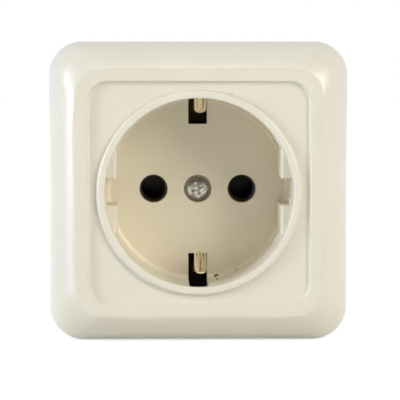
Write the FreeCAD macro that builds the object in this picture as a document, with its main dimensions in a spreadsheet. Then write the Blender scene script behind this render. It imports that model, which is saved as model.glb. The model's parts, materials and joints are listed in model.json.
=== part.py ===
"""Surface-mounted type F wall socket: a moulded hood over a base with contacts, earth strap and terminals.

The wall is the plane Y = 0, the front looks along -Y and +Z is up. A height is measured from the wall
towards the front, so a height of 10 lies at Y = -10. All lengths are millimetres.
"""

import FreeCAD
import Part
import Sketcher
import math
import os
from types import SimpleNamespace

SIZES = {
    # Cover: outer shell
    "cover_side": 62.8,
    "cover_corner": 7.0,
    "cover_wall": 2.0,
    "rim_height": 44.0,
    "land_drop": 0.2,
    "land_corner": 6.0,
    "bevel_radius": 11.3,
    "bevel_sweep": 62.0,
    "land_width": 2.4,
    "panel_corner": 4.2,
    "panel_drop": 0.9,
    "panel_round": 0.35,
    "panel_foot_round": 0.5,
    "front_wall": 2.1,
    "knockout_width": 12.0,
    "knockout_length": 13.0,
    "knockout_web": 0.7,
    # Cover: plug well
    "well_radius": 19.55,
    "well_wall": 1.75,
    "well_depth": 17.5,
    "floor_wall": 2.5,
    "floor_round": 1.0,
    "rim_round": 0.45,
    "rim_outer_round": 0.75,
    "flat_inset": 2.4,
    "ledge_drop": 4.3,
    "ledge_round": 0.6,
    "notch_width": 5.7,
    "pin_pitch": 19.0,
    "pin_hole_radius": 3.0,
    "pin_hole_round": 0.25,
    "slot_width": 4.0,
    "slot_length": 5.65,
    "slot_lip": 1.1,
    "slot_groove": 1.25,
    "screw_well_radius": 2.95,
    "screw_well_depth": 3.2,
    "boss_wall": 1.2,
    "boss_web": 1.3,
    # Cover screw
    "screw_thread_radius": 1.25,
    "screw_thread_gap": 0.05,
    "screw_hole_gap": 0.2,
    "screw_head_radius": 2.25,
    "screw_head_height": 1.8,
    "screw_head_dome": 0.35,
    "screw_length": 9.5,
    "cross_span": 2.9,
    "cross_width": 0.75,
    "cross_depth": 1.0,
    "cross_turn": 24.0,
    # Base
    "base_thickness": 4.0,
    "base_gap": 0.3,
    "wall_hole_radius": 2.4,
    "countersink_depth": 2.0,
    "cable_entry_reach": 13.0,
    "cable_entry_width": 12.0,
    "cable_entry_height": 6.5,
    "cable_entry_corner": 2.5,
    "cable_entry_edge": 2.4,
    "tower_width": 10.6,
    "tower_depth": 14.0,
    "tower_corner": 1.2,
    "tower_clearance": 0.5,
    "tower_bore_radius": 4.0,
    "tower_lid": 2.0,
    "pin_mouth_radius": 2.6,
    "barrier_reach": 6.2,
    "barrier_thickness": 1.2,
    "barrier_height": 7.0,
    "barrier_start": 8.2,
    "barrier_length": 13.0,
    "pillar_socket_depth": 3.0,
    # Threaded pillar
    "pillar_radius": 2.4,
    "pillar_flange_radius": 3.3,
    "pillar_flange": 0.8,
    "pillar_spigot_radius": 1.6,
    "pillar_thread_depth": 11.0,
    "fit_gap": 0.05,
    # Earth strap
    "strap_sheet": 0.8,
    "strap_bar_width": 7.0,
    "strap_slot_gap": 0.15,
    "strap_shift_x": 0.35,
    "strap_shift_z": 1.9,
    "clip_width": 2.5,
    "clip_sheet": 0.5,
    "clip_crown": 0.6,
    "clip_end_round": 1.0,
    "clip_arm_inset": 0.25,
    "clip_fold_radius": 1.5,
    "clip_elbow_radius": 3.0,
    "clip_lean": 30.0,
    "clip_crest_inset": 4.75,
    "clip_crest_drop": 9.0,
    "clip_crest_radius": 3.0,
    "clip_flare": 31.0,
    "clip_tip_drop": 1.85,
    # Contacts
    "contact_sheet": 0.8,
    "sleeve_radius": 2.4,
    "sleeve_lead_in": 0.45,
    "sleeve_rise": 3.25,
    "sleeve_slit": 1.0,
    "riser_width": 2.6,
    "riser_sheet": 0.6,
    "foot_width": 5.0,
    "terminal_reach_x": 13.0,
    "terminal_reach_z": 16.0,
    "pad_side": 8.0,
    "spring_sheet": 0.45,
    "spring_length": 4.0,
    "spring_drop": 2.5,
    "spring_opening": 60.0,
    # Contact rivets
    "rivet_reach_z": 9.6,
    "rivet_radius": 1.25,
    "rivet_head_radius": 2.1,
    "rivet_head_height": 0.7,
    "rivet_recess_radius": 2.8,
    "rivet_recess_depth": 1.4,
    # Terminals
    "earth_terminal_z": 10.2,
    "clamp_side": 7.0,
    "clamp_thickness": 1.0,
    "clamp_corner": 0.8,
    "terminal_thread_radius": 1.7,
    "terminal_hole_radius": 1.95,
    "terminal_head_radius": 2.9,
    "terminal_head_height": 2.0,
    "terminal_head_round": 0.4,
    "terminal_slot_width": 0.8,
    "terminal_slot_depth": 1.0,
    "terminal_tip_height": 1.2,
    "nut_side": 5.6,
    "nut_thickness": 2.0,
    "nut_gap": 0.1,
    "terminal_pocket_floor": 0.8,
}

BEVEL_SECTION_COUNT = 6
CAVITY_SECTION_COUNT = 5
RIGHT = 1
LEFT = -1


class Size:
    """A length or angle that is both a number and the expression that binds it to the sheet."""

    def __init__(self, number, text):
        self.number = number
        self.text = text

    def __add__(self, other):
        other = as_size(other)
        return Size(self.number + other.number, f"({self.text} + {other.text})")

    def __sub__(self, other):
        other = as_size(other)
        return Size(self.number - other.number, f"({self.text} - {other.text})")

    def __mul__(self, other):
        other = as_size(other)
        return Size(self.number * other.number, f"({self.text} * {other.text})")

    def __truediv__(self, other):
        other = as_size(other)
        return Size(self.number / other.number, f"({self.text} / {other.text})")

    def __neg__(self):
        return Size(-self.number, f"(0 - {self.text})")


def as_size(value):
    if isinstance(value, Size):
        return value
    return Size(float(value), repr(float(value)))


def sine(angle):
    return Size(math.sin(math.radians(angle.number)), f"sin({angle.text})")


def cosine(angle):
    return Size(math.cos(math.radians(angle.number)), f"cos({angle.text})")


def tangent(angle):
    return Size(math.tan(math.radians(angle.number)), f"tan({angle.text})")


def arc_sine(ratio):
    return Size(math.degrees(math.asin(ratio.number)), f"asin({ratio.text})")


def root(size):
    return Size(math.sqrt(size.number), f"sqrt({size.text})")


def other_leg(hypotenuse, leg):
    return root(hypotenuse * hypotenuse - leg * leg)


doc = FreeCAD.newDocument("type_f_wall_socket")
sheet = doc.addObject("Spreadsheet::Sheet", "Sizes")
for row, (name, value) in enumerate(SIZES.items(), start=1):
    sheet.set(f"A{row}", name)
    sheet.set(f"B{row}", str(value))
    sheet.setAlias(f"B{row}", name)
doc.recompute()

dim = SimpleNamespace(**{name: Size(value, f"Sizes.{name}") for name, value in SIZES.items()})
ZERO = as_size(0)

# Heights above the wall that several pieces share
land_height = dim.rim_height - dim.land_drop
panel_height = land_height - dim.panel_drop
roof_height = panel_height - dim.front_wall
floor_height = dim.rim_height - dim.well_depth
floor_back = floor_height - dim.floor_wall
floor_middle = floor_height - dim.floor_wall / 2
screw_seat = floor_height - dim.screw_well_depth
boss_end = screw_seat - dim.boss_web
bevel_start = land_height - dim.bevel_radius * sine(dim.bevel_sweep)
tower_top = boss_end - dim.tower_clearance
lid_back = tower_top - dim.tower_lid
strap_top = dim.base_thickness + dim.strap_sheet
foot_top = dim.base_thickness + dim.contact_sheet
pin_reach = dim.pin_pitch / 2
cover_half = dim.cover_side / 2
base_half = cover_half - dim.cover_wall - dim.base_gap
tube_radius = dim.well_radius + dim.well_wall
tube_middle = dim.well_radius + dim.well_wall / 2
slot_inner_reach = dim.well_radius - dim.slot_length
sleeve_outer_radius = dim.sleeve_radius + dim.contact_sheet
riser_inner_reach = sleeve_outer_radius - dim.riser_sheet
sleeve_end = lid_back - dim.sleeve_lead_in
sleeve_start = dim.base_thickness + dim.sleeve_rise


def bind(target, path, size):
    target.setExpression(path, size.text)


def new_body(label):
    body = doc.addObject("PartDesign::Body", label)
    body.Label = label
    return body


def place(target, x=ZERO, height=ZERO, z=ZERO):
    bind(target, "Placement.Base.x", x)
    bind(target, "Placement.Base.y", -height)
    bind(target, "Placement.Base.z", z)


def origin_feature(body, role):
    return next(feature for feature in body.Origin.OriginFeatures if feature.Role == role)


def new_sketch(body, name, role, offset=ZERO):
    sketch = body.newObject("Sketcher::SketchObject", name)
    sketch.AttachmentSupport = (origin_feature(body, role), [""])
    sketch.MapMode = "FlatFace"
    bind(sketch, "AttachmentOffset.Base.z", offset)
    return sketch


def front_sketch(body, name, height=ZERO):
    """A sketch parallel to the wall, X to the right and Z up, at a height above the wall."""
    return new_sketch(body, name, "XZ_Plane", height)


def fix(sketch, kind, geometry, point, size):
    number = sketch.addConstraint(Sketcher.Constraint(kind, -1, 1, geometry, point, size.number))
    bind(sketch, f"Constraints[{number}]", size)


def fix_radius(sketch, geometry, radius):
    number = sketch.addConstraint(Sketcher.Constraint("Radius", geometry, abs(radius.number)))
    bind(sketch, f"Constraints[{number}]", radius if radius.number > 0 else -radius)


def arc_between(start, end, radius):
    """The shorter arc from start to end; a positive radius turns left, a negative one right."""
    chord = end - start
    left = FreeCAD.Vector(-chord.y, chord.x, 0).normalize()
    height = math.sqrt(max(radius * radius - chord.Length ** 2 / 4, 0))
    centre = (start + end) / 2 + left * math.copysign(height, radius)
    first, last = (start, end) if radius > 0 else (end, start)
    angles = [math.atan2(point.y - centre.y, point.x - centre.x) for point in (first, last)]
    if angles[1] < angles[0]:
        angles[1] += 2 * math.pi
    return Part.ArcOfCircle(Part.Circle(centre, FreeCAD.Vector(0, 0, 1), abs(radius)), *angles)


def outline(sketch, corners, closed=True):
    """Draws an outline through (x, y) corners; a third value is the radius of the arc that leaves one."""
    corners = [tuple(as_size(value) for value in corner) for corner in corners]
    count = len(corners) if closed else len(corners) - 1
    edges = []
    for number in range(count):
        here = corners[number]
        there = corners[(number + 1) % len(corners)]
        start = FreeCAD.Vector(here[0].number, here[1].number, 0)
        end = FreeCAD.Vector(there[0].number, there[1].number, 0)
        if len(here) == 2:
            edges.append((sketch.addGeometry(Part.LineSegment(start, end), False), 1, 2))
        elif here[2].number > 0:
            edges.append((sketch.addGeometry(arc_between(start, end, here[2].number), False), 1, 2))
        else:
            edges.append((sketch.addGeometry(arc_between(start, end, here[2].number), False), 2, 1))
        if len(here) == 3:
            fix_radius(sketch, edges[-1][0], here[2])
    for number in range(count if closed else count - 1):
        geometry, _, end = edges[number]
        following, start, _ = edges[(number + 1) % count]
        sketch.addConstraint(Sketcher.Constraint("Coincident", geometry, end, following, start))
    for (geometry, start, _), corner in zip(edges, corners):
        fix(sketch, "DistanceX", geometry, start, corner[0])
        fix(sketch, "DistanceY", geometry, start, corner[1])
    if not closed:
        geometry, _, end = edges[-1]
        fix(sketch, "DistanceX", geometry, end, corners[-1][0])
        fix(sketch, "DistanceY", geometry, end, corners[-1][1])


def circle(sketch, radius, x=ZERO, y=ZERO):
    centre = FreeCAD.Vector(x.number, y.number, 0)
    geometry = sketch.addGeometry(Part.Circle(centre, FreeCAD.Vector(0, 0, 1), radius.number), False)
    fix(sketch, "DistanceX", geometry, 3, x)
    fix(sketch, "DistanceY", geometry, 3, y)
    fix_radius(sketch, geometry, radius)


def rectangle(sketch, left, right, low, high):
    outline(sketch, [(left, low), (right, low), (right, high), (left, high)])


def rounded_rectangle(sketch, left, right, low, high, corner):
    outline(
        sketch,
        [
            (left + corner, low),
            (right - corner, low, corner),
            (right, low + corner),
            (right, high - corner, corner),
            (right - corner, high),
            (left + corner, high, corner),
            (left, high - corner),
            (left, low + corner, corner),
        ],
    )


def rounded_square(sketch, half, corner):
    rounded_rectangle(sketch, -half, half, -half, half, corner)


def pad(body, name, sketch, length):
    feature = body.newObject("PartDesign::Pad", name)
    feature.Profile = sketch
    bind(feature, "Length", length)


def pocket(body, name, sketch, depth, towards_front=False):
    """Cuts from the sketch towards the wall, or towards the front."""
    feature = body.newObject("PartDesign::Pocket", name)
    feature.Profile = sketch
    feature.Reversed = towards_front
    bind(feature, "Length", depth)
    return feature


def revolve(body, name, corners):
    """Turns an outline of (radius, height) corners about the body's own front-to-back axis."""
    sketch = new_sketch(body, f"{name}_outline", "XY_Plane")
    outline(sketch, [(radius, -height, *(-turn for turn in turns)) for radius, height, *turns in corners])
    feature = body.newObject("PartDesign::Revolution", name)
    feature.Profile = sketch
    feature.ReferenceAxis = (sketch, ["V_Axis"])


def edges_where(shape, test):
    """Names of the edges whose ends and middle all pass the test."""
    names = []
    for number, edge in enumerate(shape.Edges, start=1):
        first, last = edge.ParameterRange
        points = [edge.valueAt(first + (last - first) * share) for share in (0, 0.5, 1)]
        if all(test(point) for point in points):
            names.append(f"Edge{number}")
    return names


def dress(body, kind, name, test, size):
    """Fillets or chamfers the edges of the body's tip that pass the test."""
    doc.recompute()
    base = body.Tip
    names = edges_where(base.Shape, test)
    if not names:
        raise RuntimeError(f"{body.Label}: no edge found for {name}")
    feature = body.newObject(f"PartDesign::{kind}", name)
    feature.Base = (base, names)
    bind(feature, "Radius" if kind == "Fillet" else "Size", size)


def near(value, size, tolerance=0.01):
    return abs(value - size.number) < tolerance


def at_height(point, height):
    return near(-point.y, height)


def bevel_loft(body, kind, name, radius, sweep, corner, last_corner, count):
    """Lofts rounded squares along the bevel's arc, from the side walls to the front."""
    centre = cover_half - dim.bevel_radius
    sections = []
    for number in range(count):
        share = number / (count - 1)
        angle = sweep * share
        sketch = front_sketch(body, f"{name}_{number}", bevel_start + radius * sine(angle))
        rounded_square(sketch, centre + radius * cosine(angle), corner + (last_corner - corner) * share)
        sections.append(sketch)
    loft = body.newObject(f"PartDesign::{kind}", name)
    loft.Profile = sections[0]
    loft.Sections = sections[1:]


def build_cover():
    body = new_body("cover")
    add_cover_shell(body)
    add_plug_well(body)
    add_cover_openings(body)
    add_knockouts(body)
    return body


def add_cover_shell(body):
    sketch = front_sketch(body, "side_walls_outline")
    rounded_square(sketch, cover_half, dim.cover_corner)
    pad(body, "side_walls", sketch, bevel_start)
    bevel_loft(body, "AdditiveLoft", "bevel", dim.bevel_radius, dim.bevel_sweep, dim.cover_corner,
               dim.land_corner, BEVEL_SECTION_COUNT)

    panel_half = cover_half - dim.bevel_radius * (as_size(1) - cosine(dim.bevel_sweep)) - dim.land_width
    sketch = front_sketch(body, "panel_outline", land_height)
    rounded_square(sketch, panel_half, dim.panel_corner)
    pocket(body, "panel", sketch, dim.panel_drop)
    dress(
        body,
        "Fillet",
        "panel_edge",
        lambda point: at_height(point, land_height)
        and max(abs(point.x), abs(point.z)) < panel_half.number + 0.01,
        dim.panel_round,
    )
    dress(
        body,
        "Fillet",
        "panel_foot",
        lambda point: at_height(point, panel_height),
        dim.panel_foot_round,
    )

    inner_half = cover_half - dim.cover_wall
    inner_corner = dim.cover_corner - dim.cover_wall
    sketch = front_sketch(body, "cavity_outline")
    rounded_square(sketch, inner_half, inner_corner)
    pocket(body, "cavity", sketch, bevel_start, towards_front=True)
    inner_radius = dim.bevel_radius - dim.cover_wall
    inner_sweep = arc_sine((roof_height - bevel_start) / inner_radius)
    bevel_loft(body, "SubtractiveLoft", "cavity_bevel", inner_radius, inner_sweep, inner_corner,
               dim.land_corner - dim.cover_wall, CAVITY_SECTION_COUNT)


def add_plug_well(body):
    sketch = front_sketch(body, "well_cut_outline", land_height)
    circle(sketch, tube_middle)
    pocket(body, "well_cut", sketch, land_height - roof_height)
    revolve(
        body,
        "well",
        [
            (ZERO, floor_back),
            (tube_radius, floor_back),
            (tube_radius, dim.rim_height - dim.rim_outer_round, dim.rim_outer_round),
            (tube_radius - dim.rim_outer_round, dim.rim_height),
            (dim.well_radius + dim.rim_round, dim.rim_height, dim.rim_round),
            (dim.well_radius, dim.rim_height - dim.rim_round),
            (dim.well_radius, floor_height + dim.floor_round, -dim.floor_round),
            (dim.well_radius - dim.floor_round, floor_height),
            (ZERO, floor_height),
        ],
    )

    # Four ledges with flat faces guide the plug and leave a notch between them on each side
    flat_reach = dim.well_radius - dim.flat_inset
    notch_half = dim.notch_width / 2
    sketch = front_sketch(body, "ledges_outline", floor_middle)
    for side in (LEFT, RIGHT):
        for end in (LEFT, RIGHT):
            outline(
                sketch,
                [
                    (flat_reach * side, notch_half * end),
                    (other_leg(tube_middle, notch_half) * side, notch_half * end, tube_middle * side * end),
                    (flat_reach * side, other_leg(tube_middle, flat_reach) * end),
                ],
            )
    ledge_height = dim.rim_height - dim.ledge_drop
    pad(body, "ledges", sketch, ledge_height - floor_middle)
    dress(
        body,
        "Fillet",
        "ledge_edge",
        lambda point: near(abs(point.x), flat_reach) and at_height(point, ledge_height),
        dim.ledge_round,
    )

    sketch = front_sketch(body, "boss_outline", boss_end)
    circle(sketch, dim.screw_well_radius + dim.boss_wall)
    pad(body, "boss", sketch, floor_middle - boss_end)


def add_cover_openings(body):
    sketch = front_sketch(body, "screw_well_outline", floor_height)
    circle(sketch, dim.screw_well_radius)
    pocket(body, "screw_well", sketch, dim.screw_well_depth)
    sketch = front_sketch(body, "screw_hole_outline", screw_seat)
    circle(sketch, dim.screw_thread_radius + dim.screw_hole_gap)
    pocket(body, "screw_hole", sketch, dim.boss_web)

    sketch = front_sketch(body, "pin_holes_outline", floor_height)
    for side in (LEFT, RIGHT):
        circle(sketch, dim.pin_hole_radius, pin_reach * side)
    pocket(body, "pin_holes", sketch, dim.floor_wall)
    dress(
        body,
        "Fillet",
        "floor_hole_edge",
        lambda point: at_height(point, floor_height)
        and math.hypot(point.x, point.z) < slot_inner_reach.number,
        dim.pin_hole_round,
    )

    # The earth clips bow through slots in the floor and the tube, which end in a groove under the rim
    slot_half = dim.slot_width / 2
    for name, top, reach in (
        ("clip_slot", roof_height, tube_radius + dim.well_wall),
        ("clip_groove", dim.rim_height - dim.slot_lip, dim.well_radius + dim.slot_groove),
    ):
        sketch = front_sketch(body, f"{name}_outline", top)
        rectangle(sketch, -slot_half, slot_half, slot_inner_reach, reach)
        rectangle(sketch, -slot_half, slot_half, -reach, -slot_inner_reach)
        pocket(body, name, sketch, top - floor_back)


def add_knockouts(body):
    """Thin U-shaped webs in the top and bottom walls that are broken out for a surface cable."""
    half = dim.knockout_width / 2
    straight = dim.knockout_length - half
    sketch = new_sketch(body, "knockout_outline", "XY_Plane", cover_half - dim.knockout_web)
    outline(
        sketch,
        [
            (-half, ZERO),
            (-half, -straight, half),
            (ZERO, -dim.knockout_length, half),
            (half, -straight),
            (half, ZERO),
        ],
    )
    upper = pocket(body, "knockout", sketch, dim.cover_wall - dim.knockout_web)
    lower = body.newObject("PartDesign::Mirrored", "knockout_below")
    lower.Originals = [upper]
    lower.MirrorPlane = (origin_feature(body, "XY_Plane"), [""])
    body.Tip = lower


def build_cover_screw():
    """Domed screw with a cross recess, seated in the middle of the well floor."""
    body = new_body("cover_screw")
    head = dim.screw_head_height
    shoulder = head - dim.screw_head_dome
    dome_radius = (
        dim.screw_head_radius * dim.screw_head_radius + dim.screw_head_dome * dim.screw_head_dome
    ) / (dim.screw_head_dome * 2)
    revolve(
        body,
        "head_and_thread",
        [
            (ZERO, -dim.screw_length),
            (dim.screw_thread_radius, -dim.screw_length),
            (dim.screw_thread_radius, ZERO),
            (dim.screw_head_radius, ZERO),
            (dim.screw_head_radius, shoulder, dome_radius),
            (ZERO, head),
        ],
    )
    span = dim.cross_span / 2
    arm = dim.cross_width / 2
    sketch = front_sketch(body, "cross_outline", head)
    bind(sketch, "AttachmentOffset.Rotation.Angle", dim.cross_turn)
    outline(
        sketch,
        [
            (span, -arm),
            (span, arm),
            (arm, arm),
            (arm, span),
            (-arm, span),
            (-arm, arm),
            (-span, arm),
            (-span, -arm),
            (-arm, -arm),
            (-arm, -span),
            (arm, -span),
            (arm, -arm),
        ],
    )
    pocket(body, "cross", sketch, dim.cross_depth)
    place(body, height=screw_seat)
    return body


def build_base():
    body = new_body("base")
    sketch = front_sketch(body, "plate_outline")
    rounded_square(sketch, base_half, dim.cover_corner - dim.cover_wall - dim.base_gap)
    pad(body, "plate", sketch, dim.base_thickness)

    tower_half = dim.tower_width / 2
    sketch = front_sketch(body, "towers_outline", dim.base_thickness)
    for side in (LEFT, RIGHT):
        centre = pin_reach * side
        rounded_rectangle(sketch, centre - tower_half, centre + tower_half, -dim.tower_depth / 2,
                          dim.tower_depth / 2, dim.tower_corner)
    pad(body, "towers", sketch, tower_top - dim.base_thickness)

    sketch = front_sketch(body, "barriers_outline", dim.base_thickness)
    for side in (LEFT, RIGHT):
        centre = dim.barrier_reach * side
        rectangle(sketch, centre - dim.barrier_thickness / 2, centre + dim.barrier_thickness / 2,
                  dim.barrier_start, dim.barrier_start + dim.barrier_length)
    pad(body, "barriers", sketch, dim.barrier_height)

    # Each tower holds a contact sleeve that goes in from above, behind a lid with a mouth for the pin
    bore = dim.tower_bore_radius
    chambers = front_sketch(body, "tower_chambers_outline", lid_back)
    mouths = front_sketch(body, "pin_mouths_outline", tower_top)
    for side in (LEFT, RIGHT):
        centre = pin_reach * side
        outline(
            chambers,
            [
                (centre + bore, ZERO),
                (centre + bore, dim.tower_depth),
                (centre - bore, dim.tower_depth),
                (centre - bore, ZERO, bore),
                (centre, -bore, bore),
            ],
        )
        circle(mouths, dim.pin_mouth_radius, centre)
    pocket(body, "tower_chambers", chambers, lid_back - dim.base_thickness)
    pocket(body, "pin_mouths", mouths, dim.tower_lid)

    add_base_holes(body)
    return body


def add_base_holes(body):
    # The wall screws go midway between a tower and the edge of the plate
    wall_hole_reach = (pin_reach + dim.tower_width / 2 + base_half) / 2
    sketch = front_sketch(body, "through_holes_outline", dim.base_thickness)
    for side in (LEFT, RIGHT):
        circle(sketch, dim.wall_hole_radius, wall_hole_reach * side)
        circle(sketch, dim.rivet_radius + dim.fit_gap, pin_reach * side, dim.rivet_reach_z)
    pocket(body, "through_holes", sketch, dim.base_thickness)

    # The supply cable comes out of the wall at either side of the lower earth clip
    entry_half = dim.cable_entry_width / 2
    entry_low = dim.cable_entry_edge - base_half
    sketch = front_sketch(body, "cable_entries_outline", dim.base_thickness)
    for side in (LEFT, RIGHT):
        centre = dim.cable_entry_reach * side
        rounded_rectangle(sketch, centre - entry_half, centre + entry_half, entry_low,
                          entry_low + dim.cable_entry_height, dim.cable_entry_corner)
    pocket(body, "cable_entries", sketch, dim.base_thickness)

    sketch = front_sketch(body, "rivet_recess_outline")
    for side in (LEFT, RIGHT):
        circle(sketch, dim.rivet_recess_radius, pin_reach * side, dim.rivet_reach_z)
    pocket(body, "rivet_recess", sketch, dim.rivet_recess_depth, towards_front=True)

    nut_half = dim.nut_side / 2 + dim.nut_gap
    terminals = [
        (dim.terminal_reach_x * LEFT, dim.terminal_reach_z),
        (ZERO, dim.earth_terminal_z),
        (dim.terminal_reach_x, dim.terminal_reach_z),
    ]
    sketch = front_sketch(body, "nut_pockets_outline", dim.base_thickness)
    for x, z in terminals:
        rectangle(sketch, x - nut_half, x + nut_half, z - nut_half, z + nut_half)
    pocket(body, "nut_pockets", sketch, dim.nut_thickness)

    sketch = front_sketch(body, "screw_wells_outline", dim.base_thickness)
    for x, z in terminals:
        circle(sketch, dim.terminal_hole_radius, x, z)
    pocket(body, "screw_wells", sketch, dim.base_thickness - dim.terminal_pocket_floor)

    sketch = front_sketch(body, "pillar_socket_outline", dim.base_thickness)
    circle(sketch, dim.pillar_spigot_radius + dim.fit_gap)
    pocket(body, "pillar_socket", sketch, dim.pillar_socket_depth)

    dress(
        body,
        "Chamfer",
        "countersink",
        lambda point: at_height(point, dim.base_thickness)
        and near(math.hypot(abs(point.x) - wall_hole_reach.number, point.z), dim.wall_hole_radius),
        dim.countersink_depth,
    )


def build_threaded_pillar():
    """Brass pillar set in the base: its flange holds the earth strap, its thread takes the cover screw."""
    body = new_body("threaded_pillar")
    thread_radius = dim.screw_thread_radius + dim.screw_thread_gap
    socket_floor = dim.base_thickness - dim.pillar_socket_depth
    flange_top = strap_top + dim.pillar_flange
    revolve(
        body,
        "pillar",
        [
            (ZERO, socket_floor),
            (dim.pillar_spigot_radius, socket_floor),
            (dim.pillar_spigot_radius, strap_top),
            (dim.pillar_flange_radius, strap_top),
            (dim.pillar_flange_radius, flange_top),
            (dim.pillar_radius, flange_top),
            (dim.pillar_radius, boss_end),
            (thread_radius, boss_end),
            (thread_radius, boss_end - dim.pillar_thread_depth),
            (ZERO, boss_end - dim.pillar_thread_depth),
        ],
    )
    return body


def build_earth_strap():
    """One folded brass strip: a slotted bar on the base with a bowed, crowned earth clip at each end."""
    body = new_body("earth_strap")
    half_width = dim.clip_width / 2
    arm = dim.well_radius - dim.clip_arm_inset
    fold = dim.clip_fold_radius
    clip_start = arm - fold - dim.clip_width
    side_height = dim.base_thickness + dim.clip_sheet
    crown_radius = (half_width * half_width + dim.clip_crown * dim.clip_crown) / (dim.clip_crown * 2)
    sketch = new_sketch(body, "clip_section", "XY_Plane", clip_start)
    outline(
        sketch,
        [
            (-half_width, -dim.base_thickness),
            (-half_width, -side_height, crown_radius),
            (half_width, -side_height),
            (half_width, -dim.base_thickness, -crown_radius),
        ],
    )

    # The route runs along the strip's inner face: end of the bar, fold, arm, elbow, crest and free end
    route = new_sketch(body, "clip_route", "YZ_Plane")
    crest_height = dim.rim_height - dim.clip_crest_drop
    crest_centre = dim.well_radius - dim.clip_crest_inset + dim.clip_crest_radius
    crest_start = (
        crest_centre - dim.clip_crest_radius * cosine(dim.clip_lean),
        crest_height - dim.clip_crest_radius * sine(dim.clip_lean),
    )
    crest_end = (
        crest_centre - dim.clip_crest_radius * cosine(dim.clip_flare),
        crest_height + dim.clip_crest_radius * sine(dim.clip_flare),
    )
    elbow_height = crest_start[1] - (arm - crest_start[0]) / tangent(dim.clip_lean)
    elbow_trim = dim.clip_elbow_radius * tangent(dim.clip_lean / 2)
    tip_height = dim.rim_height - dim.clip_tip_drop
    tip_reach = crest_end[0] + (tip_height - crest_end[1]) * tangent(dim.clip_flare)
    corners = [
        (strap_top, clip_start),
        (strap_top, arm - fold, fold),
        (strap_top + fold, arm),
        (elbow_height - elbow_trim, arm, dim.clip_elbow_radius),
        (
            elbow_height + elbow_trim * cosine(dim.clip_lean),
            arm - elbow_trim * sine(dim.clip_lean),
        ),
        (crest_start[1], crest_start[0], -dim.clip_crest_radius),
        (crest_end[1], crest_end[0]),
        (tip_height, tip_reach),
    ]
    outline(route, [(-height, reach, *turn) for height, reach, *turn in corners], closed=False)
    clip = body.newObject("PartDesign::AdditivePipe", "clip")
    clip.Profile = sketch
    clip.Spine = route
    mirrored = body.newObject("PartDesign::Mirrored", "clip_below")
    mirrored.Originals = [clip]
    mirrored.MirrorPlane = (origin_feature(body, "XY_Plane"), [""])
    body.Tip = mirrored

    # Seen from the front, the free ends are rounded
    end_round = dim.clip_end_round
    end_start = tip_reach + (dim.strap_sheet - dim.clip_crown) * cosine(dim.clip_flare) - end_round
    sketch = front_sketch(body, "clip_ends_outline", tip_height + dim.clip_sheet)
    for side in (LEFT, RIGHT):
        for end in (LEFT, RIGHT):
            outline(
                sketch,
                [
                    (half_width * side, end_start * end, end_round * side * end),
                    ((half_width - end_round) * side, (end_start + end_round) * end),
                    ((half_width - end_round) * side, (end_start + end_round * 2) * end),
                    ((half_width + end_round) * side, (end_start + end_round * 2) * end),
                    ((half_width + end_round) * side, end_start * end),
                ],
            )
    end_depth = (end_round + dim.clip_crown) / tangent(dim.clip_flare)
    pocket(body, "clip_ends", sketch, dim.clip_sheet * 2 + end_depth)

    bar_half = dim.strap_bar_width / 2
    sketch = front_sketch(body, "bar_outline", dim.base_thickness)
    rectangle(sketch, -bar_half, bar_half, fold - arm, arm - fold)
    pad(body, "bar", sketch, dim.strap_sheet)

    # Both holes are long enough for the strap to settle off centre
    slot_radius = dim.terminal_thread_radius + dim.strap_shift_x + dim.strap_slot_gap
    slot_travel = dim.strap_shift_z + dim.strap_slot_gap
    sketch = front_sketch(body, "slots_outline", strap_top)
    for high in (ZERO, dim.earth_terminal_z):
        low = high - slot_travel
        outline(
            sketch,
            [
                (slot_radius, low),
                (slot_radius, high, slot_radius),
                (ZERO, high + slot_radius, slot_radius),
                (-slot_radius, high),
                (-slot_radius, low, slot_radius),
                (ZERO, low - slot_radius, slot_radius),
            ],
        )
    pocket(body, "slots", sketch, dim.strap_sheet)
    place(body, x=dim.strap_shift_x, z=dim.strap_shift_z)
    return body


def build_contact(name, side):
    """Split brass sleeve for one pin, with a riser, a foot and a terminal pad from the same sheet."""
    body = new_body(name)
    revolve(
        body,
        "sleeve",
        [
            (dim.sleeve_radius, sleeve_start),
            (sleeve_outer_radius, sleeve_start),
            (sleeve_outer_radius, sleeve_end),
            (dim.sleeve_radius + dim.sleeve_lead_in, sleeve_end),
            (dim.sleeve_radius, sleeve_end - dim.sleeve_lead_in),
        ],
    )
    slit_half = dim.sleeve_slit / 2
    sketch = front_sketch(body, "slit_outline", sleeve_end)
    reach = (sleeve_outer_radius + dim.contact_sheet) * side
    outline(sketch, [(ZERO, -slit_half), (reach, -slit_half), (reach, slit_half), (ZERO, slit_half)])
    pocket(body, "slit", sketch, sleeve_end - sleeve_start)

    riser_half = dim.riser_width / 2
    sketch = front_sketch(body, "riser_outline", dim.base_thickness)
    rectangle(sketch, -riser_half, riser_half, riser_inner_reach, sleeve_outer_radius)
    pad(body, "riser", sketch, sleeve_start - dim.base_thickness + dim.contact_sheet)

    foot_half = dim.foot_width / 2
    pad_half = dim.pad_side / 2
    pad_x = (dim.terminal_reach_x - pin_reach) * side
    pad_low = dim.terminal_reach_z - pad_half
    sketch = front_sketch(body, "foot_outline", dim.base_thickness)
    outline(
        sketch,
        [
            (-foot_half * side, riser_inner_reach),
            (foot_half * side, riser_inner_reach),
            (foot_half * side, pad_low),
            (pad_x + pad_half * side, pad_low),
            (pad_x + pad_half * side, pad_low + dim.pad_side),
            (pad_x - pad_half * side, pad_low + dim.pad_side),
            (pad_x - pad_half * side, pad_low),
            (-foot_half * side, pad_low),
        ],
    )
    pad(body, "foot", sketch, dim.contact_sheet)
    sketch = front_sketch(body, "foot_holes_outline", foot_top)
    circle(sketch, dim.rivet_radius + dim.fit_gap, ZERO, dim.rivet_reach_z)
    circle(sketch, dim.terminal_hole_radius, pad_x, dim.terminal_reach_z)
    pocket(body, "foot_holes", sketch, dim.contact_sheet)
    place(body, x=pin_reach * side)
    return body


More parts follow.
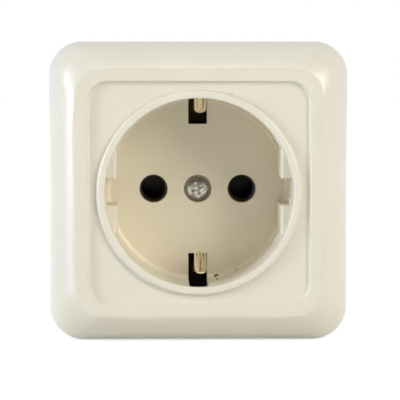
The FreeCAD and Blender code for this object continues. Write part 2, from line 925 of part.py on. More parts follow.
def build_contact_spring(name, side):
    """Open steel ring that keeps the split sleeve closed on the pin."""
    body = new_body(name)
    top = sleeve_end - dim.spring_drop
    inner = sleeve_outer_radius + dim.fit_gap
    revolve(
        body,
        "ring",
        [
            (inner, top - dim.spring_length),
            (inner + dim.spring_sheet, top - dim.spring_length),
            (inner + dim.spring_sheet, top),
            (inner, top),
        ],
    )
    reach = inner + dim.spring_sheet * 2
    rise = reach * tangent(dim.spring_opening / 2)
    sketch = front_sketch(body, "opening_outline", top)
    outline(sketch, [(ZERO, ZERO), (reach * side, -rise), (reach * side, rise)])
    pocket(body, "opening", sketch, dim.spring_length)
    place(body, x=pin_reach * side)
    return body


def build_contact_rivet(name, side):
    body = new_body(name)
    lower_head = dim.rivet_recess_depth - dim.rivet_head_height
    head = dim.rivet_head_height
    dome_radius = (dim.rivet_head_radius * dim.rivet_head_radius + head * head) / (head * 2)
    revolve(
        body,
        "rivet",
        [
            (ZERO, lower_head),
            (dim.rivet_head_radius, lower_head),
            (dim.rivet_head_radius, dim.rivet_recess_depth),
            (dim.rivet_radius, dim.rivet_recess_depth),
            (dim.rivet_radius, foot_top),
            (dim.rivet_head_radius, foot_top, dome_radius),
            (ZERO, foot_top + head),
        ],
    )
    place(body, x=pin_reach * side, z=dim.rivet_reach_z)
    return body


def build_clamp_plate(name, x, z, seat):
    """Square plate that the terminal screw presses on the wire."""
    body = new_body(name)
    sketch = front_sketch(body, "plate_outline")
    rounded_square(sketch, dim.clamp_side / 2, dim.clamp_corner)
    pad(body, "plate", sketch, dim.clamp_thickness)
    sketch = front_sketch(body, "hole_outline", dim.clamp_thickness)
    circle(sketch, dim.terminal_hole_radius)
    pocket(body, "hole", sketch, dim.clamp_thickness)
    place(body, x=x, height=seat, z=z)
    return body


def build_terminal_screw(name, x, z, seat):
    """Slotted screw that goes through its clamp plate and contact into the nut below."""
    body = new_body(name)
    tip = dim.terminal_tip_height - seat
    head = dim.terminal_head_height
    corner = dim.terminal_head_round
    revolve(
        body,
        "head_and_thread",
        [
            (ZERO, tip),
            (dim.terminal_thread_radius, tip),
            (dim.terminal_thread_radius, ZERO),
            (dim.terminal_head_radius, ZERO),
            (dim.terminal_head_radius, head - corner, corner),
            (dim.terminal_head_radius - corner, head),
            (ZERO, head),
        ],
    )
    slot_half = dim.terminal_slot_width / 2
    reach = dim.terminal_head_radius + dim.terminal_slot_width
    sketch = front_sketch(body, "slot_outline", head)
    rectangle(sketch, -reach, reach, -slot_half, slot_half)
    pocket(body, "slot", sketch, dim.terminal_slot_depth)
    place(body, x=x, height=seat, z=z)
    return body


def build_terminal_nut(name, x, z):
    """Square nut held in its pocket of the base, under the contact."""
    block = doc.addObject("Part::Box", f"{name}_block")
    bind(block, "Length", dim.nut_side)
    bind(block, "Width", dim.nut_thickness)
    bind(block, "Height", dim.nut_side)
    bind(block, "Placement.Base.x", -dim.nut_side / 2)
    bind(block, "Placement.Base.z", -dim.nut_side / 2)
    hole = doc.addObject("Part::Cylinder", f"{name}_hole")
    bind(hole, "Radius", dim.terminal_thread_radius + dim.fit_gap)
    bind(hole, "Height", dim.nut_thickness)
    hole.Placement.Rotation = FreeCAD.Rotation(FreeCAD.Vector(1, 0, 0), -90)
    nut = doc.addObject("Part::Cut", name)
    nut.Label = name
    nut.Base = block
    nut.Tool = hole
    place(nut, x=x, height=dim.base_thickness, z=z)
    return nut


def build_all():
    parts = [
        build_cover(),
        build_cover_screw(),
        build_base(),
        build_earth_strap(),
        build_threaded_pillar(),
    ]
    for name, side in (("left", LEFT), ("right", RIGHT)):
        parts.append(build_contact(f"contact_{name}", side))
        parts.append(build_contact_spring(f"contact_spring_{name}", side))
        parts.append(build_contact_rivet(f"contact_rivet_{name}", side))
    for name, x, z, metal_top in (
        ("left", -dim.terminal_reach_x, dim.terminal_reach_z, foot_top),
        ("right", dim.terminal_reach_x, dim.terminal_reach_z, foot_top),
        ("earth", ZERO, dim.earth_terminal_z, strap_top),
    ):
        parts.append(build_clamp_plate(f"clamp_plate_{name}", x, z, metal_top))
        parts.append(build_terminal_screw(f"terminal_screw_{name}", x, z, metal_top + dim.clamp_thickness))
        parts.append(build_terminal_nut(f"terminal_nut_{name}", x, z))
    return parts


def check(parts):
    for item in doc.Objects:
        if "Invalid" in item.State or "Error" in item.State:
            raise RuntimeError(f"{item.Name} failed: {item.State}")
    for part in parts:
        if part.Shape.isNull() or not part.Shape.isValid() or len(part.Shape.Solids) != 1:
            raise RuntimeError(f"{part.Label} is not one valid solid")


parts = build_all()
doc.recompute()
check(parts)
os.makedirs("parts", exist_ok=True)
for part in parts:
    part.Shape.exportStep(f"parts/{part.Label}.step")
    box = part.Shape.BoundBox
    extents = f"{box.XLength:.2f} x {box.YLength:.2f} x {box.ZLength:.2f} mm"
    print(f"{part.Label}: {extents}, {part.Shape.Volume:.1f} mm3")
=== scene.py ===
"""Type F wall socket: finishes, dirt, plaster dust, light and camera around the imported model.

Metres, in the model's own frame: the wall is Y = 0, the front looks along -Y and +Z is up.
"""

import json
import math
import random

import bmesh
import bpy
from mathutils import Euler, Matrix, Vector


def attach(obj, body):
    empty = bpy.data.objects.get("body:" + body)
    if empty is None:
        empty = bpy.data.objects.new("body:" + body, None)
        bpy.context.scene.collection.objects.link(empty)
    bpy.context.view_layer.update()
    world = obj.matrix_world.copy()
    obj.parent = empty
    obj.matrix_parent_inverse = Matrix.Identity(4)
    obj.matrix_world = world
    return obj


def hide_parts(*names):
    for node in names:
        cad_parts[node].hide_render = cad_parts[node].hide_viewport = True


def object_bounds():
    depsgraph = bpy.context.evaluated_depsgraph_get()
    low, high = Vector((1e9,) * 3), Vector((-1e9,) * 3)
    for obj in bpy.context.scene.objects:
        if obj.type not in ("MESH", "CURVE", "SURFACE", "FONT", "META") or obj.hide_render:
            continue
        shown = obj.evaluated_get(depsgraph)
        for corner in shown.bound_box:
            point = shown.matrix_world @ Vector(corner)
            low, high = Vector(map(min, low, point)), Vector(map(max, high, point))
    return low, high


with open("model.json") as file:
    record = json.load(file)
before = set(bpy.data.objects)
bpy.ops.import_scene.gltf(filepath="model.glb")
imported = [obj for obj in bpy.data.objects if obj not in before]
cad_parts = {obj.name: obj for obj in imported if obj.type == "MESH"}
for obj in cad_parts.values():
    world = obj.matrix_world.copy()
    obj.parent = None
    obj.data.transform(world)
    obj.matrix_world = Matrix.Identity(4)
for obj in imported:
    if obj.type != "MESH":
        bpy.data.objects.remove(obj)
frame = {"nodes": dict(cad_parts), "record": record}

cad_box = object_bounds()
MM = 0.001

# Places on the socket that the finishes and the dirt follow, in millimetres, with heights from the wall
RIM_HEIGHT = 44.0
FLOOR_HEIGHT = 26.5
WELL_RADIUS = 19.55

# Radius of the round between the well's floor and its wall
FLOOR_ROUND = 1.0

# The ledges' flats stand this far from the socket's middle
LEDGE_REACH = 17.15

# Above this height the clips are rubbed bright; below it their brass is tarnished and painted darker as shade
CLIP_BRIGHT_HEIGHT = 31.0

# Crumbs on the well's wall stay between these heights
LOWEST_CRUMB = FLOOR_HEIGHT + 0.2
HIGHEST_CRUMB = RIM_HEIGHT - 0.7

# The lamps point here
WELL_MIDDLE = Vector((0.0, -30.0 * MM, 0.0))

# Corners this close are welded, and edges that turn more than the crease stay sharp
WELD = 0.002 * MM
CREASE = math.radians(34)

# Faces that turn less than 0.3 degrees from one another make a flat area
FLAT_MATCH = math.cos(math.radians(0.3))


def place(name, data):
    """A new object in the scene for a mesh, a lamp or a camera."""
    item = bpy.data.objects.new(name, data)
    bpy.context.scene.collection.objects.link(item)
    return item


# Nodes

def linear(hex_colour):
    """sRGB hex, as a colour picker shows it, to the linear colour of a socket."""
    channels = [int(hex_colour[start:start + 2], 16) / 255 for start in (1, 3, 5)]
    return (*(c / 12.92 if c <= 0.04045 else ((c + 0.055) / 1.055) ** 2.4 for c in channels), 1.0)


def add(tree, kind, settings=None, inputs=None):
    """Adds a node with its settings; an input is a value or the output that feeds it."""
    node = tree.nodes.new(kind)
    for name, value in (settings or {}).items():
        setattr(node, name, value)
    for name, value in (inputs or {}).items():
        if isinstance(value, bpy.types.NodeSocket):
            tree.links.new(value, node.inputs[name])
        else:
            node.inputs[name].default_value = value
    return node


def per(size_mm):
    """Texture scale whose features are about this many millimetres across."""
    return 1 / (size_mm * MM)


def new_material(name, **shader_values):
    """A material with one surface shader, and the place on the piece that its patterns read."""
    material = bpy.data.materials.new(name)
    material.use_nodes = True
    tree = material.node_tree
    shader = tree.nodes["Principled BSDF"]
    for socket, value in shader_values.items():
        shader.inputs[socket.replace("_", " ")].default_value = value
    where = add(tree, "ShaderNodeTexCoord").outputs["Object"]
    return material, tree, shader, where


# Finishes

def urea_moulding():
    """Cream urea resin, compression moulded: satin, warm, a little clouded, yellowed in the well with age and
    painted bounce light.
    """
    material, tree, shader, where = new_material("cream_urea_moulding", IOR=1.6)

    # Clouding from the powder's flow in the mould, in patches of about 9 mm
    clouds = add(tree, "ShaderNodeTexNoise", inputs={"Vector": where, "Scale": per(9), "Detail": 3.0})
    cream = add(tree, "ShaderNodeMix", {"data_type": "RGBA"},
                {0: clouds.outputs["Fac"], 6: linear("#E2DBC8"), 7: linear("#DDD6C3")})

    # The well is a touch yellower than the front: partly age, and partly painted warm light that bounces
    # between its cream walls
    across = add(tree, "ShaderNodeVectorMath", {"operation": "MULTIPLY"}, {0: where, 1: (1.0, 0.0, 1.0)})
    radius = add(tree, "ShaderNodeVectorMath", {"operation": "LENGTH"}, {0: across.outputs[0]})
    inside = add(tree, "ShaderNodeMapRange", {"interpolation_type": "SMOOTHSTEP"},
                 {"Value": radius.outputs["Value"], "From Min": (WELL_RADIUS + 0.3) * MM,
                  "From Max": (WELL_RADIUS - 0.1) * MM})
    height = add(tree, "ShaderNodeSeparateXYZ", inputs={"Vector": where}).outputs["Y"]
    depth = add(tree, "ShaderNodeMapRange", {"interpolation_type": "SMOOTHSTEP"},
                {"Value": height, "From Min": -RIM_HEIGHT * MM, "From Max": -FLOOR_HEIGHT * MM})
    sheltered = add(tree, "ShaderNodeMath", {"operation": "MULTIPLY"},
                    {0: inside.outputs["Result"], 1: depth.outputs["Result"]})
    # Painted bounce light: this tint also stands in for the warm light between the well's walls
    aged_and_bounce_lit = add(tree, "ShaderNodeMix", {"data_type": "RGBA"},
               {0: sheltered.outputs["Value"], 6: cream.outputs[2], 7: linear("#E4DAC1")})

    # Fine dust lies where a face looks up, and the front has none
    facing = add(tree, "ShaderNodeNewGeometry").outputs["Normal"]
    upward = add(tree, "ShaderNodeSeparateXYZ", inputs={"Vector": facing}).outputs["Z"]
    grit = add(tree, "ShaderNodeTexNoise", inputs={"Vector": where, "Scale": per(0.7), "Detail": 4.0})
    dust = add(tree, "ShaderNodeMapRange", inputs={"Value": upward, "From Min": 0.2, "From Max": 1.0,
                                                   "To Max": 0.35})
    dust_film = add(tree, "ShaderNodeMath", {"operation": "MULTIPLY"},
                    {0: dust.outputs["Result"], 1: grit.outputs["Fac"]})
    dusty = add(tree, "ShaderNodeMix", {"data_type": "RGBA"},
                {0: dust_film.outputs["Value"], 6: aged_and_bounce_lit.outputs[2], 7: linear("#CFC9B8")})

    # A few dark specks of char and dirt, up to 0.24 mm across
    cells = add(tree, "ShaderNodeTexVoronoi", inputs={"Vector": where, "Scale": per(3.4)})
    chosen = add(tree, "ShaderNodeSeparateColor", inputs={"Color": cells.outputs["Color"]}).outputs["Red"]
    size = add(tree, "ShaderNodeMapRange", inputs={"Value": chosen, "From Min": 0.92, "From Max": 1.0,
                                                   "To Min": 0.0, "To Max": 0.035})
    speck = add(tree, "ShaderNodeMath", {"operation": "LESS_THAN"},
                {0: cells.outputs["Distance"], 1: size.outputs["Result"]})
    speck_share = add(tree, "ShaderNodeMath", {"operation": "MULTIPLY"}, {0: speck.outputs["Value"], 1: 0.35})
    specked = add(tree, "ShaderNodeMix", {"data_type": "RGBA"},
                  {0: speck_share.outputs["Value"], 6: dusty.outputs[2], 7: linear("#7A6A4C")})
    tree.links.new(specked.outputs[2], shader.inputs["Base Color"])

    # Satin moulding skin, worn glossier in patches of 5 mm, and dulled by dust and in the unwiped well
    wear = add(tree, "ShaderNodeTexNoise", inputs={"Vector": where, "Scale": per(5), "Detail": 2.0})
    satin = add(tree, "ShaderNodeMapRange", {"interpolation_type": "SMOOTHSTEP"},
                {"Value": wear.outputs["Fac"], "From Min": 0.1, "From Max": 0.9,
                 "To Min": 0.27, "To Max": 0.36})
    dulled = add(tree, "ShaderNodeMath", {"operation": "MULTIPLY_ADD"},
                 {0: dust_film.outputs["Value"], 1: 0.6, 2: satin.outputs["Result"]})
    unwiped = add(tree, "ShaderNodeMath", {"operation": "MULTIPLY_ADD"},
                  {0: sheltered.outputs["Value"], 1: 0.14, 2: dulled.outputs["Value"]})
    tree.links.new(unwiped.outputs["Value"], shader.inputs["Roughness"])

    # Skin of the mould: a faint orange peel of 1.6 mm over a 0.2 mm grain
    peel = add(tree, "ShaderNodeTexNoise", inputs={"Vector": where, "Scale": per(1.6), "Detail": 2.0})
    grain = add(tree, "ShaderNodeTexNoise", inputs={"Vector": where, "Scale": per(0.2), "Detail": 2.0})
    skin = add(tree, "ShaderNodeMath", {"operation": "MULTIPLY_ADD"},
               {0: grain.outputs["Fac"], 1: 0.12, 2: peel.outputs["Fac"]})
    relief = add(tree, "ShaderNodeBump", inputs={"Height": skin.outputs["Value"], "Distance": 0.006 * MM})
    tree.links.new(relief.outputs["Normal"], shader.inputs["Normal"])
    return material


def phenolic_moulding():
    """Brown-black phenol resin filled with wood flour: hard, half gloss, with faint lighter fibres."""
    material, tree, shader, where = new_material("brown_black_phenolic", IOR=1.6)
    flow = add(tree, "ShaderNodeTexNoise", inputs={"Vector": where, "Scale": per(4), "Detail": 3.0})
    body = add(tree, "ShaderNodeMix", {"data_type": "RGBA"},
               {0: flow.outputs["Fac"], 6: linear("#4A3D37"), 7: linear("#57463D")})
    # Wood flour shows as pale flecks of some 0.3 mm
    cells = add(tree, "ShaderNodeTexVoronoi", inputs={"Vector": where, "Scale": per(0.9)})
    fleck = add(tree, "ShaderNodeMath", {"operation": "LESS_THAN"}, {0: cells.outputs["Distance"], 1: 0.16})
    fleck_share = add(tree, "ShaderNodeMath", {"operation": "MULTIPLY"}, {0: fleck.outputs["Value"], 1: 0.3})
    flecked = add(tree, "ShaderNodeMix", {"data_type": "RGBA"},
                  {0: fleck_share.outputs["Value"], 6: body.outputs[2], 7: linear("#5A4638")})
    tree.links.new(flecked.outputs[2], shader.inputs["Base Color"])
    gloss = add(tree, "ShaderNodeMapRange", inputs={"Value": flow.outputs["Fac"], "From Min": 0.3,
                                                    "From Max": 0.7, "To Min": 0.36, "To Max": 0.5})
    tree.links.new(gloss.outputs["Result"], shader.inputs["Roughness"])
    peel = add(tree, "ShaderNodeTexNoise", inputs={"Vector": where, "Scale": per(0.6), "Detail": 3.0})
    relief = add(tree, "ShaderNodeBump", inputs={"Height": peel.outputs["Fac"], "Distance": 0.01 * MM})
    tree.links.new(relief.outputs["Normal"], shader.inputs["Normal"])
    return material


def brass_sheet(name, clean, tarnished_and_shaded, bright_height, roughness, grain_stretch):
    """Rolled brass: bright above a height over the wall, where pins and plugs rub it, and brown below with
    tarnish and painted shade.
    """
    material, tree, shader, where = new_material(name, Metallic=1.0)
    patches = add(tree, "ShaderNodeTexNoise", inputs={"Vector": where, "Scale": per(1.4), "Detail": 4.0})
    depth = add(tree, "ShaderNodeSeparateXYZ", inputs={"Vector": where}).outputs["Y"]
    sheltered = add(tree, "ShaderNodeMapRange",
                    inputs={"Value": depth, "From Min": -(bright_height + 1.5) * MM,
                            "From Max": -(bright_height - 1.5) * MM})
    # Tarnish and painted shade creep over the edge of the rubbed part in patches of 1.4 mm
    creeping = add(tree, "ShaderNodeMath", {"operation": "MULTIPLY_ADD"},
                   {0: patches.outputs["Fac"], 1: 0.5, 2: sheltered.outputs["Result"]})
    # The brown is tarnish, and painted shade that darkens the brass lying deep in the slots and pin holes
    tarnish_and_shade = add(tree, "ShaderNodeMapRange", {"interpolation_type": "SMOOTHSTEP"},
                  {"Value": creeping.outputs["Value"], "From Min": 0.3, "From Max": 1.1})
    colour = add(tree, "ShaderNodeMix", {"data_type": "RGBA"},
                 {0: tarnish_and_shade.outputs["Result"], 6: linear(clean), 7: linear(tarnished_and_shaded)})
    tree.links.new(colour.outputs[2], shader.inputs["Base Color"])
    # Rolling lines are 0.05 mm wide and many times as long
    along = add(tree, "ShaderNodeMapping", inputs={"Vector": where, "Scale": grain_stretch})
    lines = add(tree, "ShaderNodeTexNoise", inputs={"Vector": along.outputs["Vector"], "Scale": per(0.05)})
    dulling = add(tree, "ShaderNodeMath", {"operation": "MULTIPLY_ADD"},
                  {0: tarnish_and_shade.outputs["Result"], 1: 0.4, 2: roughness})
    varied = add(tree, "ShaderNodeMath", {"operation": "MULTIPLY_ADD"},
                 {0: lines.outputs["Fac"], 1: 0.08, 2: dulling.outputs["Value"]})
    tree.links.new(varied.outputs["Value"], shader.inputs["Roughness"])
    relief = add(tree, "ShaderNodeBump", inputs={"Height": lines.outputs["Fac"], "Distance": 0.003 * MM})
    tree.links.new(relief.outputs["Normal"], shader.inputs["Normal"])
    return material


def blued_spring_steel():
    """Heat-blued spring wire and strip: dark grey-blue with straw-brown patches."""
    material, tree, shader, where = new_material("blued_spring_steel", Metallic=1.0)
    heat = add(tree, "ShaderNodeTexNoise", inputs={"Vector": where, "Scale": per(2.5), "Detail": 2.0})
    colour = add(tree, "ShaderNodeMix", {"data_type": "RGBA"},
                 {0: heat.outputs["Fac"], 6: linear("#6C7078"), 7: linear("#77695A")})
    tree.links.new(colour.outputs[2], shader.inputs["Base Color"])
    polish = add(tree, "ShaderNodeMapRange", inputs={"Value": heat.outputs["Fac"], "To Min": 0.25,
                                                     "To Max": 0.4})
    tree.links.new(polish.outputs["Result"], shader.inputs["Roughness"])
    return material


def aged_zinc_steel():
    """Zinc-plated screw steel gone dull: bright in places, with a grey bloom and brown pin-pricks."""
    material, tree, shader, where = new_material("aged_zinc_steel", Metallic=1.0)
    bloom = add(tree, "ShaderNodeTexNoise", inputs={"Vector": where, "Scale": per(0.9), "Detail": 5.0})
    greyed = add(tree, "ShaderNodeMapRange", {"interpolation_type": "SMOOTHSTEP"},
                 {"Value": bloom.outputs["Fac"], "From Min": 0.4, "From Max": 0.65})
    zinc = add(tree, "ShaderNodeMix", {"data_type": "RGBA"},
               {0: greyed.outputs["Result"], 6: linear("#C6C2B4"), 7: linear("#8C887A")})
    pits = add(tree, "ShaderNodeTexNoise", inputs={"Vector": where, "Scale": per(0.35), "Detail": 2.0})
    rusty = add(tree, "ShaderNodeMapRange", inputs={"Value": pits.outputs["Fac"], "From Min": 0.62,
                                                    "From Max": 0.7})
    colour = add(tree, "ShaderNodeMix", {"data_type": "RGBA"},
                 {0: rusty.outputs["Result"], 6: zinc.outputs[2], 7: linear("#5B4C3A")})
    tree.links.new(colour.outputs[2], shader.inputs["Base Color"])
    dulling = add(tree, "ShaderNodeMapRange", inputs={"Value": bloom.outputs["Fac"], "To Min": 0.18,
                                                      "To Max": 0.5})
    tree.links.new(dulling.outputs["Result"], shader.inputs["Roughness"])
    relief = add(tree, "ShaderNodeBump", inputs={"Height": bloom.outputs["Fac"], "Distance": 0.02 * MM})
    tree.links.new(relief.outputs["Normal"], shader.inputs["Normal"])
    return material


def crumbs_of(name, pale, dark):
    """Dry, matt crumbs of dirt or plaster, uneven in colour from grain to grain."""
    material, tree, shader, where = new_material(name, Roughness=0.85)
    grains = add(tree, "ShaderNodeTexNoise", inputs={"Vector": where, "Scale": per(0.3), "Detail": 3.0})
    colour = add(tree, "ShaderNodeMix", {"data_type": "RGBA"},
                 {0: grains.outputs["Fac"], 6: linear(dark), 7: linear(pale)})
    tree.links.new(colour.outputs[2], shader.inputs["Base Color"])
    relief = add(tree, "ShaderNodeBump", inputs={"Height": grains.outputs["Fac"], "Distance": 0.05 * MM})
    tree.links.new(relief.outputs["Normal"], shader.inputs["Normal"])
    return material


finishes = {
    "cream_thermoset": urea_moulding(),
    "dark_phenolic": phenolic_moulding(),
    # Below its height the brass is brown: tarnish, and painted shade on the contacts deep in the pin holes
    # and on the clips' arms in the slots
    "brass": brass_sheet("stamped_brass", "#D9BE82", "#7A6244", FLOOR_HEIGHT, 0.24, (1.0, 0.05, 1.0)),
    "strap_brass": brass_sheet("worn_brass_strip", "#FFF6DC", "#947A5C", CLIP_BRIGHT_HEIGHT, 0.12,
                               (1.0, 0.06, 0.06)),
    "spring_steel": blued_spring_steel(),
    "screw_steel": aged_zinc_steel(),
}


# The socket's own surfaces

def flat_areas(shell):
    """For each face, the number of the flat area it lies in, and for each area its normal times its size."""
    number_of = {}
    areas = []
    for seed in sorted(shell.faces, key=lambda face: -face.calc_area()):
        if seed in number_of:
            continue
        number_of[seed] = len(areas)
        square_mm = 0.0
        spreading = [seed]
        while spreading:
            face = spreading.pop()
            square_mm += face.calc_area() / MM ** 2
            for edge in face.edges:
                for other in edge.link_faces:
                    if other not in number_of and other.normal.dot(seed.normal) > FLAT_MATCH:
                        number_of[other] = len(areas)
                        spreading.append(other)
        areas.append(seed.normal * square_mm)
    return number_of, areas


def corner_normals(shell):
    """Normals that the largest flat areas at a corner rule, so flat faces stay flat beside rounded edges."""
    number_of, areas = flat_areas(shell)
    normals = {}
    for vert in shell.verts:
        left = set(vert.link_faces)
        while left:
            # A fan is the faces around the corner that no crease parts
            fan = [left.pop()]
            for face in fan:
                for edge in face.edges:
                    if vert in edge.verts and edge.calc_face_angle(math.pi) < CREASE:
                        for other in edge.link_faces:
                            if other in left:
                                left.remove(other)
                                fan.append(other)
            shared = sum((areas[number_of[corner.face]] * corner.calc_angle()
                          for corner in vert.link_loops if corner.face in fan), Vector())
            for face in fan:
                normals[face.index, vert.index] = shared.normalized()
    return normals


def smooth_surface(node_name, slot_name):
    """Stands a welded, smoothly shaded copy in for a node, with its creases kept."""
    shell = bmesh.new()
    shell.from_mesh(frame["nodes"][node_name].data)
    bmesh.ops.remove_doubles(shell, verts=shell.verts, dist=WELD)
    for face in shell.faces:
        face.smooth = True
    shell.faces.index_update()
    shell.verts.index_update()
    normals = corner_normals(shell)
    mesh = bpy.data.meshes.new(f"{node_name}_surface")
    shell.to_mesh(mesh)
    shell.free()
    mesh.set_sharp_from_angle(angle=CREASE)
    mesh.normals_split_custom_set([normals[polygon.index, mesh.loops[corner].vertex_index]
                                   for polygon in mesh.polygons for corner in polygon.loop_indices])
    mesh.materials.clear()
    mesh.materials.append(finishes[slot_name])
    for polygon in mesh.polygons:
        polygon.material_index = 0
    piece = place(f"{node_name}_surface", mesh)
    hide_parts(node_name)
    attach(piece, "root")


for part in frame["record"]["subparts"]:
    smooth_surface(part["node"], part["material_slot"])


# Dirt

def scatter_crumbs(name, material, spots, chance):
    """Small uneven crumbs on a surface. A spot is its place, the surface's normal and the radius, in mm."""
    heap = bmesh.new()
    for middle, normal, radius in spots:
        outward = Vector(normal).normalized()
        spun = Matrix.Rotation(chance.uniform(0, math.tau), 4, "Z")
        turned = outward.to_track_quat("Z", "Y").to_matrix().to_4x4() @ spun
        grain = bmesh.ops.create_icosphere(heap, subdivisions=2, radius=radius * MM)["verts"]
        for vert in grain:
            vert.co *= chance.uniform(0.75, 1.2)
        # Squashed and a little sunk in, so that it lies on the surface
        squashed = Matrix.Diagonal((1.3, 0.85, 0.6, 1.0))
        moved = Matrix.Translation(Vector(middle) * MM + outward * radius * 0.35 * MM)
        bmesh.ops.transform(heap, verts=grain, matrix=moved @ turned @ squashed)
    mesh = bpy.data.meshes.new(name)
    heap.to_mesh(mesh)
    heap.free()
    mesh.materials.append(material)
    piece = place(name, mesh)
    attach(piece, "root")


def well_spot(angle, height, radius):
    """A spot on the well's wall or on the round at its foot, at an angle from straight down to the right."""
    turn = math.radians(angle)
    outward = Vector((math.sin(turn), 0.0, -math.cos(turn)))
    # On the round the normal leans from the wall towards the front
    lean = max(1 - (height - FLOOR_HEIGHT) / FLOOR_ROUND, 0.0)
    inward = math.sqrt(1 - lean ** 2)
    middle = outward * (WELL_RADIUS - FLOOR_ROUND * (1 - inward)) - Vector((0.0, height, 0.0))
    return middle, Vector((0.0, -lean, 0.0)) - outward * inward, radius


dice = random.Random(4)

# Dark crumbs lie in the bottom of the well, right of the lower earth clip: angle, height and radius of each
dirt = [well_spot(*spot) for spot in (
    (11.7, 26.8, 0.27), (12.9, 26.7, 0.2), (10.9, 26.7, 0.13), (12.1, 31.9, 0.17), (13.4, 29.6, 0.08),
    (25.2, 27.1, 0.15), (26.6, 27.0, 0.1), (24.4, 27.3, 0.07), (9.6, 33.0, 0.07),
)]
scatter_crumbs("dirt_crumbs", crumbs_of("dry_dirt", "#5A4B3B", "#2E261F"), dirt, dice)

# Plaster dust is caught on the right of the well. On the upper ledge: rise, height and radius of each grain
plaster = [((LEDGE_REACH, -height, rise), (-1.0, 0.0, 0.0), radius) for rise, height, radius in (
    (7.4, 27.4, 0.16), (4.9, 34.5, 0.2), (4.5, 35.2, 0.13), (8.6, 38.6, 0.16), (6.3, 31.0, 0.1),
)]

# More of it on the well's wall, near the rim at the upper ledge's end, in the notch and at the lower ledge's
# end: angle, height, number of grains, and how much their height varies
for angle, height, count, spread in ((120.5, 41.5, 8, 1.0), (84.5, 32.0, 7, 2.2), (58.5, 34.5, 16, 4.0)):
    for _ in range(count):
        strewn_angle = dice.gauss(angle, 2.2)
        strewn_height = dice.gauss(height, spread)
        kept_height = min(max(strewn_height, LOWEST_CRUMB), HIGHEST_CRUMB)
        plaster.append(well_spot(strewn_angle, kept_height, dice.uniform(0.1, 0.24)))
plaster_dust = crumbs_of("plaster_dust", "#FFFFFF", "#F6F3EA")
scatter_crumbs("plaster_crumbs", plaster_dust, plaster, dice)


# Studio

def new_lamp(name, turn, rise, width, height, watts, colour):
    """A soft lamp 1 m from the socket, turned to the right of its front and raised, in degrees."""
    lamp = bpy.data.lights.new(name, "AREA")
    lamp.shape = "ELLIPSE"
    lamp.size = width
    lamp.size_y = height
    lamp.energy = watts
    lamp.color = linear(colour)[:3]
    item = place(name, lamp)
    direction = Euler((math.radians(-rise), 0.0, math.radians(turn))).to_matrix() @ Vector((0.0, -1.0, 0.0))
    item.location = WELL_MIDDLE + direction
    item.rotation_euler = (-direction).to_track_quat("-Z", "Y").to_euler()


# Turn, rise, width, height, watts and colour of each lamp
new_lamp("left_window", -71, 6, 0.34, 1.0, 10.4, "#E8F0FF")
new_lamp("left_front_lamp", -42, 14, 0.16, 0.6, 0.7, "#FFFCF6")
new_lamp("upper_right_softbox", 48, 21, 0.56, 0.6, 5.95, "#FFFCF4")
new_lamp("ceiling_bounce", 0, 51, 0.6, 0.35, 1.9, "#FFFFFF")


def studio_world():
    """White backdrop behind the socket that fades to a dim room in front, and white where it is seen."""
    world = bpy.data.worlds.new("pale_studio")
    bpy.context.scene.world = world
    world.use_nodes = True
    tree = world.node_tree
    background = tree.nodes["Background"]
    direction = add(tree, "ShaderNodeTexCoord").outputs["Generated"]
    behind = add(tree, "ShaderNodeSeparateXYZ", inputs={"Vector": direction}).outputs["Y"]
    backdrop = add(tree, "ShaderNodeMapRange", {"interpolation_type": "SMOOTHSTEP"},
                   {"Value": behind, "From Min": -0.5, "From Max": 0.3, "To Min": 0.1, "To Max": 1.0})
    path = add(tree, "ShaderNodeLightPath")
    mirrored = add(tree, "ShaderNodeMath", {"operation": "MAXIMUM"},
                   {0: path.outputs["Is Glossy Ray"], 1: path.outputs["Is Transmission Ray"]})
    # Things get 0.7 of it as light, and glossy ones mirror 0.94 of it
    share = add(tree, "ShaderNodeMapRange",
                inputs={"Value": mirrored.outputs["Value"], "To Min": 0.7, "To Max": 0.94})
    lit = add(tree, "ShaderNodeMath", {"operation": "MULTIPLY"},
              {0: backdrop.outputs["Result"], 1: share.outputs["Result"]})
    strength = add(tree, "ShaderNodeMath", {"operation": "MAXIMUM"},
                   {0: lit.outputs["Value"], 1: path.outputs["Is Camera Ray"]})
    tree.links.new(strength.outputs["Value"], background.inputs["Strength"])
    tint = add(tree, "ShaderNodeMix", {"data_type": "RGBA"},
               {0: path.outputs["Is Camera Ray"], 6: linear("#E8F0FF"), 7: linear("#FFFFFF")})
    tree.links.new(tint.outputs[2], background.inputs["Color"])


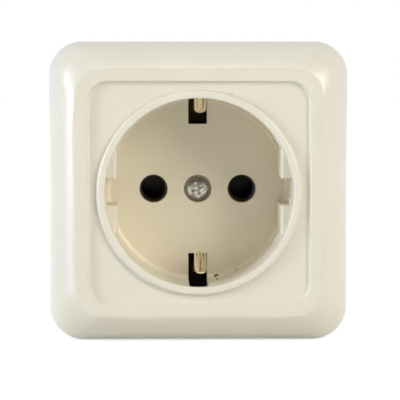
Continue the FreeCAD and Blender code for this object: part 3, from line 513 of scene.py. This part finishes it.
def seen_directly(tree):
    """1 for rays from the camera, a glossy bounce or glass, and 0 for light that falls on things."""
    path = add(tree, "ShaderNodeLightPath")
    straight = add(tree, "ShaderNodeMath", {"operation": "MAXIMUM"},
                   {0: path.outputs["Is Camera Ray"], 1: path.outputs["Is Glossy Ray"]})
    seen = add(tree, "ShaderNodeMath", {"operation": "MAXIMUM"},
               {0: straight.outputs["Value"], 1: path.outputs["Is Transmission Ray"]})
    return seen.outputs["Value"]


def studio_floor():
    """Pale matt paper under the socket, lifted to white where it is seen, apart from the socket's shadow."""
    sweep = bmesh.new()
    lowered = Matrix.Translation((0.0, 0.0, cad_box[0][2]))
    bmesh.ops.create_grid(sweep, x_segments=1, y_segments=1, size=3.0, matrix=lowered)
    mesh = bpy.data.meshes.new("paper_floor")
    sweep.to_mesh(mesh)
    sweep.free()
    material, tree, shader, where = new_material("matt_paper", Roughness=0.9, Specular_IOR_Level=0.0)
    shader.inputs["Base Color"].default_value = linear("#DEDEDC")
    # Less lift within 0.1 m of the socket keeps its shadow, and more beyond 0.5 m hides the horizon
    away = add(tree, "ShaderNodeVectorMath", {"operation": "LENGTH"}, {0: where})
    lit_up = add(tree, "ShaderNodeMapRange", {"interpolation_type": "SMOOTHSTEP"},
                 {"Value": away.outputs["Value"], "From Min": 0.1, "From Max": 0.5,
                  "To Min": 0.6, "To Max": 0.9})
    lift = add(tree, "ShaderNodeMath", {"operation": "MULTIPLY"},
               {0: seen_directly(tree), 1: lit_up.outputs["Result"]})
    glow = add(tree, "ShaderNodeEmission", inputs={"Strength": lift.outputs["Value"]})
    both = add(tree, "ShaderNodeAddShader", inputs={0: shader.outputs[0], 1: glow.outputs[0]})
    tree.links.new(both.outputs[0], tree.nodes["Material Output"].inputs["Surface"])
    mesh.materials.append(material)
    place("paper_floor", mesh)


studio_world()
studio_floor()

# The camera stands a little left of the socket and above it, some 420 mm from its rim
camera = bpy.data.cameras.new("photo_camera")
camera.sensor_width = 36.0
camera.lens = 183.3
camera.clip_start = 0.01
camera.clip_end = 20.0
stand = place("photo_camera", camera)
stand.location = (-8.6 * MM, -464.0 * MM, 23.5 * MM)
aim = Vector((0.15 * MM, -RIM_HEIGHT * MM, -1.42 * MM))
stand.rotation_euler = (aim - stand.location).to_track_quat("-Z", "Y").to_euler()
bpy.context.scene.camera = stand

bpy.context.scene.view_settings.view_transform = "Standard"
